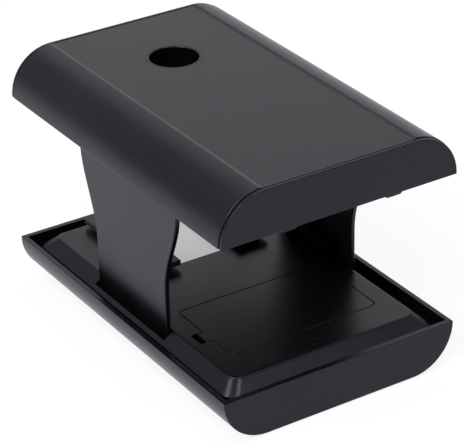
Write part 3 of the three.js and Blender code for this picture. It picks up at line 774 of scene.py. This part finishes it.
window_form = plate(window_plate, window_plate_bottom, window_plate_top, window_plate_radius)
soften(window_form, window_plate_edge)
raised_form = plate(
    widened(window_opening, -window_gap), window_raised_bottom, window_top, window_radius - window_gap,
)
round_edges(raised_form, window_edge, lambda a, b: at_height(window_top, a, b), segments=3)
put_with(window_form, raised_form)
make_piece(window_form, "opal_plate", opal_window, "base", ["diffuser_window"])
finish_nodes(white_box, "light_box")
finish_nodes(green_board, "light_board", "control_board")
finish_nodes(lamp_gel, *[f"led_{side}_{row}" for side in ("left", "right") for row in (1, 2, 3)])


# Film guides: two black rails beside the window. A plate stands on a narrower foot, so that the
# edge of a film strip or a slide runs under its inner lip. Their outer corners are cut off.

guide_near = 12
guide_far = 58
guide_inner = 12
guide_outer = 24.3
guide_corner = 0.8
guide_edge = 0.25
guide_plate_bottom = 19.9
guide_top = 22
guide_foot_inner = 17.8
guide_foot_outer = 21.3
guide_foot_inset = 2
guide_foot_bottom = 18.6
guide_foot_top = 21.5

# The rails take a lighter grey copy of the black plastic: painted light that lifts their near faces out of
# the shade under the cover.
painted_light_matt_abs = spark_textured(
    "painted_light_matt_abs", dark=(0.014, 0.014, 0.015), light=(0.02, 0.02, 0.022),
    roughness=0.45, grain=1500, depth=0.00003,
)

for name, side in (("left", -1), ("right", 1)):
    ends = span_on(side, guide_inner, guide_outer)
    guide_form = block((ends[0], guide_near, guide_plate_bottom), (ends[1], guide_far, guide_top))
    round_edges(guide_form, guide_corner, lambda a, b: (
        (a.xy - b.xy).length < same and abs(abs(a.x) - guide_outer) < same
    ), segments=1)
    ends = span_on(side, guide_foot_inner, guide_foot_outer)
    guide_foot = block(
        (ends[0], guide_near + guide_foot_inset, guide_foot_bottom),
        (ends[1], guide_far - guide_foot_inset, guide_foot_top),
    )
    guide_form = soften(unite(guide_form, guide_foot), guide_edge, segments=3)
    make_piece(guide_form, f"{name}_guide_rail", painted_light_matt_abs, "base", [f"film_guide_{name}"])


# Power button: a small oval cap of smooth black plastic that rises through a rimmed hole near the
# front of the deck and presses a switch on the control board under it.

button_top = 19.1
button_bottom = 14.6
button_edge = 0.45
flange_size = (7.2, 4.4)
flange_bottom = 15.4
flange_top = 16.4
flange_edge = 0.15

black_cap = smooth_moulded(
    "smooth_black", dark=(0.0012, 0.0012, 0.0017), light=(0.003, 0.003, 0.004), roughness=0.3,
)

cap_form = oval(button_size, 0, button_bottom, button_top)
round_edges(cap_form, button_edge, lambda a, b: at_height(button_top, a, b), segments=4)
put_with(cap_form, soften(oval(flange_size, 0, flange_bottom, flange_top), flange_edge))
make_piece(cap_form, "button_cap", black_cap, "power_button", ["power_button"])
finish_nodes(black_cap, "tact_switch")


# Cover shell: the upper half of the case, a trough turned over, black ABS. A shallow flat field
# for the phone runs along its top, and the camera hole goes down through a long collar.

cover_mouth = 71.8
cover_top = body_height
cover_end = 65.4
cover_edge = 0.4
cover_mouth_edge = 0.25
field_half = 28.8
field_level = 87.95
field_slope = 1.4
hole_y = 32
hole_radius = 8.5
hole_steps = 72
hole_edge = 0.45
hole_ring_inner = 9.4
hole_ring_outer = 9.55
hole_ring_depth = 0.2
collar_radius = 10.1
collar_bottom = 76.3
collar_sunk = 0.5


def hole_bar(low, high, radius):
    """A round bar on the camera hole's axis."""
    return rod((0, hole_y, low), (0, hole_y, high), radius, segments=hole_steps)


def on_hole_rim(place):
    away = math.hypot(place.x, place.y - hole_y)
    return at_height(field_level, place) and abs(away - hole_radius) < face_margin


cover_form = trough(side_face, -cover_end, cover_end, cover_mouth, cover_top, case_radius)
round_ends(cover_form, cover_end, cover_mouth, cover_edge, segments=4)
cover_room = trough(
    side_face - side_wall, -end_face, end_face,
    cover_mouth - past, cover_top - side_wall, case_radius - side_wall,
)
cover_form = cut(cover_form, cover_room)
soften(cover_form, cover_mouth_edge, limit=60)
cover_form = unite(cover_form, hole_bar(collar_bottom, cover_top - side_wall + collar_sunk, collar_radius))
field_side = [
    (field_half - field_slope / 2, field_level),
    (field_half + field_slope / 2, cover_top),
    (field_half + field_slope / 2, cover_top + past),
]
field_outline = [(-x, z) for x, z in field_side] + [(x, z) for x, z in reversed(field_side)]
cover_form = cut(
    cover_form,
    outline(field_outline, "Y", -end_face, end_face),
    hole_bar(collar_bottom - past, cover_top + past, hole_radius),
)
round_edges(cover_form, hole_edge, lambda a, b: on_hole_rim(a) and on_hole_rim(b), segments=4)
ring_bottom = field_level - hole_ring_depth
ring_groove = cut(
    hole_bar(ring_bottom, field_level + past, hole_ring_outer),
    hole_bar(ring_bottom, field_level + past + sunk, hole_ring_inner),
)
cover_form = cut(cover_form, ring_groove)
cover = make_piece(cover_form, "cover_trough", black_abs, "cover", ["cover_shell"])
# The inside of the camera hole takes the painted shade.
finish_faces(cover, painted_shade_abs, lambda middle: (
    math.hypot(middle.x, middle.y - hole_y) < hole_radius + face_margin
    and middle.z < field_level - hole_edge / 2
))
finish_nodes(black_abs, "cover_rail_left", "cover_rail_right")


# Cover caps: a flat end wall snaps into each end of the cover by a ring-shaped plug. A fine groove
# shows round it, its rim is rounded, and two tabs hang below its edge as catches.

cap_inset = 0.3
cap_plate = 1.1
cap_edge = 0.45
cap_back = 64.2
plug_end = 60.6
plug_sunk = 0.1
plug_inset = 2.1
plug_hollow = 3.5
tab_x = 20
tab_half = 3.4
tab_bottom = 71
tab_top = 75.8
tab_face = 66.65
tab_thickness = 1.2
tab_corner = 0.8
tab_edge = 0.15


def inset_trough(span, inset, reach=0):
    """A trough as wide and high as the cover less an inset, over a span along the body."""
    return trough(
        side_face - inset, *span, cover_mouth - reach, cover_top - inset, case_radius - inset,
    )


for name, end in (("near", -1), ("far", 1)):
    cap_form = inset_trough(span_on(end, end_face - cap_plate, end_face), cap_inset)
    round_edges(cap_form, cap_edge, lambda a, b: (
        abs(abs(a.y) - end_face) < same and abs(a.y - b.y) < same
    ), segments=4)
    plug_form = cut(
        inset_trough(span_on(end, plug_end, end_face - cap_plate + plug_sunk), plug_inset),
        inset_trough(span_on(end, plug_end - past, cap_back), plug_hollow, past),
    )
    tab_ends = span_on(end, tab_face - tab_thickness, tab_face)
    tabs = []
    for side in (-1, 1):
        tab = block(
            (side * tab_x - tab_half, tab_ends[0], tab_bottom),
            (side * tab_x + tab_half, tab_ends[1], tab_top),
        )
        round_edges(tab, tab_corner, lambda a, b: (
            at_height(tab_bottom, a, b) and abs(a.y - b.y) > same
        ), segments=1)
        tabs.append(soften(tab, tab_edge))
    put_with(cap_form, plug_form, *tabs)
    make_piece(cap_form, f"{name}_end_wall", black_abs, "cover", [f"cover_cap_{name}"])


# Feet: four black rubber discs glued into recesses under the floor.

foot_radius = 4
foot_top = 1.2
foot_edge = 0.3


def soft_rubber(name):
    """Matt black rubber with dust in its pores."""
    finish, shader, place = open_finish(name)
    pores = noise(place, scale=2600, detail=3, roughness=0.7)
    dust = noise(place, scale=420, detail=4).ramp(0.5, 0.75)
    close_finish(shader, place, {"Specular IOR Level": 0.35}, {
        "Base Color": mix_colours(dust, (0.012, 0.012, 0.012, 1), (0.04, 0.039, 0.037, 1)),
        "Roughness": 0.8 + pores * 0.15,
    }, pores, depth=0.00005)
    return finish


foot_rubber = soft_rubber("foot_rubber")
for number, (x, y) in enumerate(foot_places, 1):
    foot_form = soften(rod((x, y, 0), (x, y, foot_top), foot_radius), foot_edge, segments=3)
    make_piece(foot_form, f"rubber_foot_{number}", foot_rubber, "base", [f"foot_{number}"])


# Base screws: four zinc plated pan head screws with cross recesses, driven up through the floor.

head_top = 2.9
head_height = 1.6
head_radius = 2.4
head_edge = 0.45
recess_roof = 0.7
recess_size = (1.5, 0.3)
screw_length = 8
screw_radius = 1.2
shank_radius = 1.05
shank_sunk = 0.1
shank_short = 1.2
tip_length = 1.3
tip_radius = 1
point_radius = 0.3
thread_turns = 7
thread_pitch = 0.8
thread_start = 0.6
thread_end = 1
thread_root = 0.9

for number, (x, y) in enumerate(screw_places, 1):
    head = rod((x, y, head_top - head_height), (x, y, head_top), head_radius)
    soften(head, head_edge, segments=4)
    head = cut(head, *[
        block((x - across, y - along, 0), (x + across, y + along, head_top - recess_roof))
        for across, along in (recess_size, reversed(recess_size))
    ])
    screw_end = head_top + screw_length
    shank = rod((x, y, head_top - shank_sunk), (x, y, screw_end - shank_short), shank_radius)
    tip = rod((x, y, screw_end - tip_length), (x, y, screw_end), tip_radius, point_radius)
    turns = [
        rod(
            (x, y, head_top + thread_start + turn * thread_pitch),
            (x, y, head_top + thread_end + turn * thread_pitch), screw_radius, thread_root,
        )
        for turn in range(thread_turns)
    ]
    screw_form = put_with(head, shank, tip, *turns)
    make_piece(screw_form, f"pan_screw_{number}", zinc_steel, "base", [f"base_screw_{number}"])


# Cells and contacts: two AA cells side by side in the bay, in plain sleeves with a bright band at
# the positive end, between zinc plated springs and plates.

bare_rim = 0.0006
band_length = 0.011
shoulder_rim = 0.0004


def wound_sleeve(name, positive, start, shoulder):
    """Along its X the cell shows bare steel, dark sleeve, a copper coloured band and bare steel."""
    finish, shader, place = open_finish(name)
    along = place.node("ShaderNodeSeparateXYZ", {}, {0: place}) * positive
    sleeve = along.above(start + bare_rim)
    band = along.above(shoulder - band_length)
    steel_end = along.above(shoulder - shoulder_rim)
    bare = (1 - sleeve) + steel_end
    clouds = noise(place, scale=300)
    body_colour = mix_colours(clouds, (0.03, 0.032, 0.035, 1), (0.05, 0.052, 0.056, 1))
    sleeve_colour = mix_colours(band, body_colour, (0.45, 0.2, 0.07, 1))
    close_finish(shader, place, {}, {
        "Base Color": mix_colours(bare, sleeve_colour, (0.6, 0.6, 0.58, 1)),
        "Metallic": 0.35 + bare * 0.6,
        "Roughness": 0.25 + clouds * 0.12,
    }, clouds, depth=0.00001)
    return finish


near_sleeve = wound_sleeve("cell_near_sleeve", positive=1, start=-0.0227, shoulder=0.0265)
far_sleeve = wound_sleeve("cell_far_sleeve", positive=-1, start=-0.0235, shoulder=0.0257)
finish_nodes(near_sleeve, "battery_cell_near")
finish_nodes(far_sleeve, "battery_cell_far")
finish_nodes(zinc_steel, "contact_bridge", "contact_positive", "contact_negative")


# Studio: a white table that keeps a faint shadow and an even white room. One broad soft lamp from
# behind on the right lights the top, and three small ones draw the light along the edges. The
# camera stands where the picture's did.

table_half = 3
white = (1, 1, 1, 1)

table_form = bmesh.new()
bmesh.ops.create_grid(table_form, x_segments=1, y_segments=1, size=table_half)
table_mesh = bpy.data.meshes.new("table_top")
table_form.to_mesh(table_mesh)
table_form.free()
table_top = bpy.data.objects.new("table_top", table_mesh)
bpy.context.scene.collection.objects.link(table_top)

white_table = bpy.data.materials.new("white_table")
white_table.use_nodes = True
table_tree = white_table.node_tree
table_tree.nodes.clear()
table = Reading(table_tree)
in_view = table.node("ShaderNodeLightPath", {}, {}, "Is Camera Ray")
mirrored = (
    table.node("ShaderNodeLightPath", {}, {}, "Is Glossy Ray")
    + table.node("ShaderNodeLightPath", {}, {}, "Is Transmission Ray")
)
matt = table.node("ShaderNodeBsdfDiffuse", {}, {"Color": (0.5, 0.51, 0.54, 1)})
seen_glow = table.node("ShaderNodeEmission", {}, {"Color": white, "Strength": 1.15})
mirror_glow = table.node("ShaderNodeEmission", {}, {"Color": (0.92, 0.93, 1, 1), "Strength": 1.5})
seen = table.node("ShaderNodeMixShader", {}, {0: in_view * 0.75, 1: matt, 2: seen_glow})
surface = table.node("ShaderNodeMixShader", {}, {0: mirrored * 0.5, 1: seen, 2: mirror_glow})
table.node("ShaderNodeOutputMaterial", {}, {"Surface": surface})
table_mesh.materials.append(white_table)

room = bpy.data.worlds.new("white_room")
bpy.context.scene.world = room
room.use_nodes = True
room_tree = room.node_tree
room_tree.nodes.clear()
air = Reading(room_tree)
camera_ray = air.node("ShaderNodeLightPath", {}, {}, "Is Camera Ray")
backdrop = air.node("ShaderNodeBackground", {}, {"Color": white, "Strength": 1.0})
soft_light = air.node("ShaderNodeBackground", {}, {"Color": (0.95, 0.94, 1, 1), "Strength": 0.58})
sky = air.node("ShaderNodeMixShader", {}, {0: camera_ray, 1: soft_light, 2: backdrop})
air.node("ShaderNodeOutputWorld", {}, {"Surface": sky})

lamp_aim = Vector((0, 0, 0.05))


def soft_lamp(name, place, side, power):
    """A square studio lamp with a diffuser, turned towards the scanner."""
    light = bpy.data.lights.new(name, "AREA")
    light.shape = "SQUARE"
    light.size = side
    light.energy = power
    lamp = bpy.data.objects.new(name, light)
    lamp.visible_camera = False
    lamp.location = place
    lamp.rotation_euler = (lamp_aim - Vector(place)).to_track_quat("-Z", "Y").to_euler()
    bpy.context.scene.collection.objects.link(lamp)


soft_lamp("far_right_lamp", (0.6, 0.95, 0.66), side=1.3, power=1.9)
soft_lamp("left_lamp", (-0.45, 0.18, 0.95), side=0.25, power=2.5)
soft_lamp("front_lamp", (0.15, -0.41, 0.98), side=0.25, power=2.5)
soft_lamp("left_front_lamp", (-0.69, -0.4, 0.74), side=0.5, power=8)

camera_place = Vector((-0.36781, -0.58514, 0.41214))
camera_right = Vector((0.83982, -0.54251, -0.01941))
camera_up = Vector((0.27291, 0.39105, 0.87898))
camera_back = Vector((-0.46927, -0.74348, 0.47647))
lens = bpy.data.cameras.new("camera")
lens.sensor_width = 36
lens.lens = 179.85
camera = bpy.data.objects.new("camera", lens)
camera.matrix_world = Matrix.LocRotScale(
    camera_place, Matrix((camera_right, camera_up, camera_back)).transposed(), None,
)
bpy.context.scene.collection.objects.link(camera)
bpy.context.scene.camera = camera
bpy.context.scene.view_settings.view_transform = "Standard"
